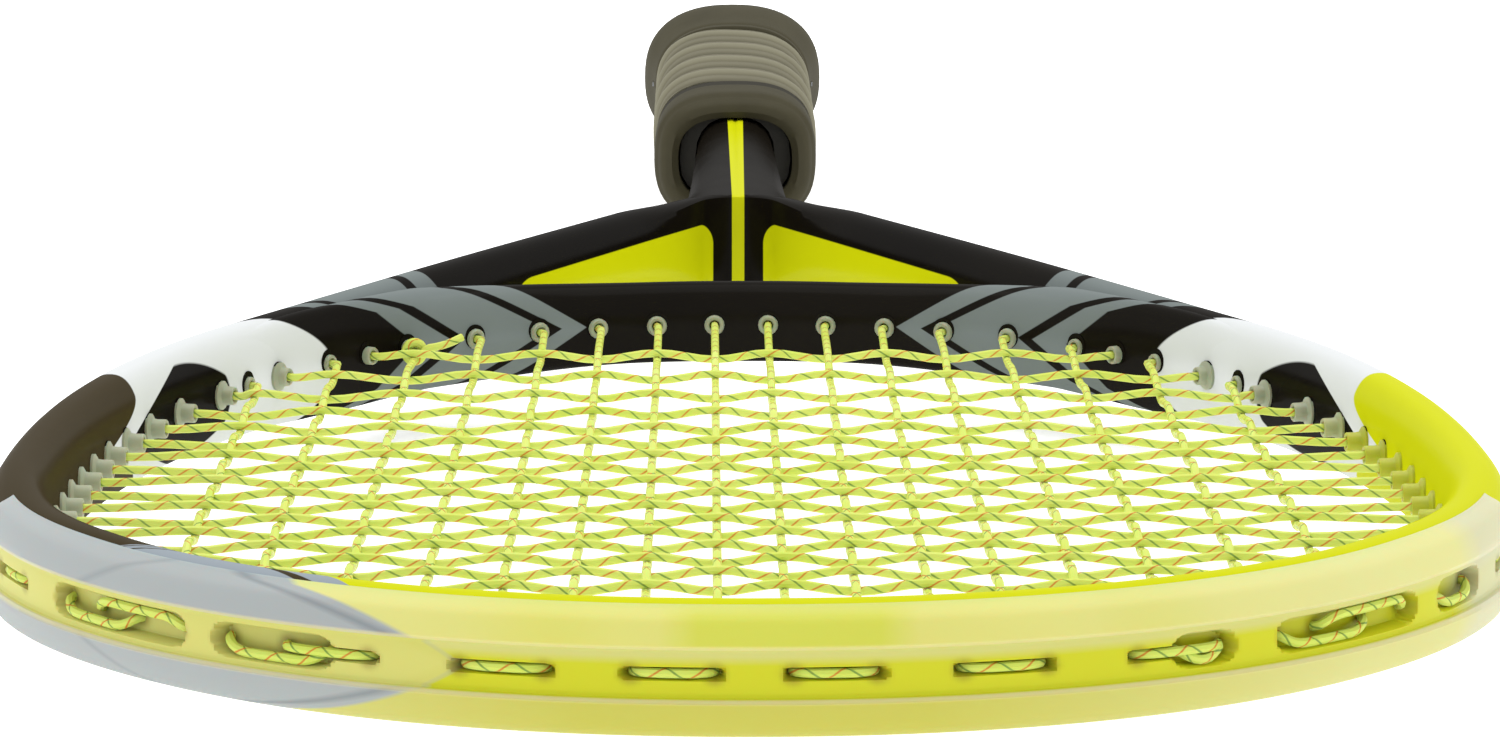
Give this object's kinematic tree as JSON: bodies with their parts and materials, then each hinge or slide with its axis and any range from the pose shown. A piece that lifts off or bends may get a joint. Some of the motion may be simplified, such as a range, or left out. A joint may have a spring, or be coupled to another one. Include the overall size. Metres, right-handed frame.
{
  "type": "squash racket",
  "caption": "Open-throat squash racket: hollow-shaft carbon frame, woven strings in plastic grommets, tip bumper, throat bridge and a spiral-wrapped handle with a flared butt cap.",
  "frame": {"origin": "centre of the racket's bounding box in X and Y, at the lowest point, which is the underside of the butt cap", "axes": "+Y from the head's tip to the butt, +X to the right of that line seen from above, +Z square to the string plane"},
  "size_m": [0.2156, 0.685, 0.033],
  "materials": {
    "frame_paint": "satin and gloss paint on carbon fibre: fluorescent yellow, blue-grey, olive black, white and black",
    "bridge_paint": "gloss black paint with grey striped chevrons on carbon fibre",
    "bumper_plastic": "frosted translucent polyurethane",
    "grommet_plastic": "milky translucent nylon",
    "string": "translucent yellow-green multifilament with red and green tracer threads",
    "pallet_foam": "rigid polyurethane foam, hidden under the grip",
    "grip_tape": "taupe-grey cushioned polyurethane tape with a fine grain",
    "finishing_tape": "thin dark vinyl tape",
    "collar_rubber": "dark satin rubber",
    "butt_rubber": "dark moulded thermoplastic rubber",
    "staple_steel": "bright steel wire"
  },
  "bodies": {
    "root": {"head_frame": "frame_paint", "throat_bridge": "bridge_paint", "bumper_guard": "bumper_plastic", "grommet_strip_left": "grommet_plastic", "grommet_strip_right": "grommet_plastic", "bridge_grommet_01": "grommet_plastic", "bridge_grommet_02": "grommet_plastic", "bridge_grommet_03": "grommet_plastic", "bridge_grommet_04": "grommet_plastic", "bridge_grommet_05": "grommet_plastic", "bridge_grommet_06": "grommet_plastic", "bridge_grommet_07": "grommet_plastic", "bridge_grommet_08": "grommet_plastic", "bridge_grommet_09": "grommet_plastic", "bridge_grommet_10": "grommet_plastic", "racket_string": "string", "tie_off_knot_bridge": "string", "tie_off_knot_tip": "string", "handle_pallet": "pallet_foam", "grip_wrap": "grip_tape", "grip_finishing_tape": "finishing_tape", "grip_collar": "collar_rubber", "butt_cap": "butt_rubber", "butt_cap_staple_left": "staple_steel", "butt_cap_staple_right": "staple_steel"}
  },
  "joints": []
}
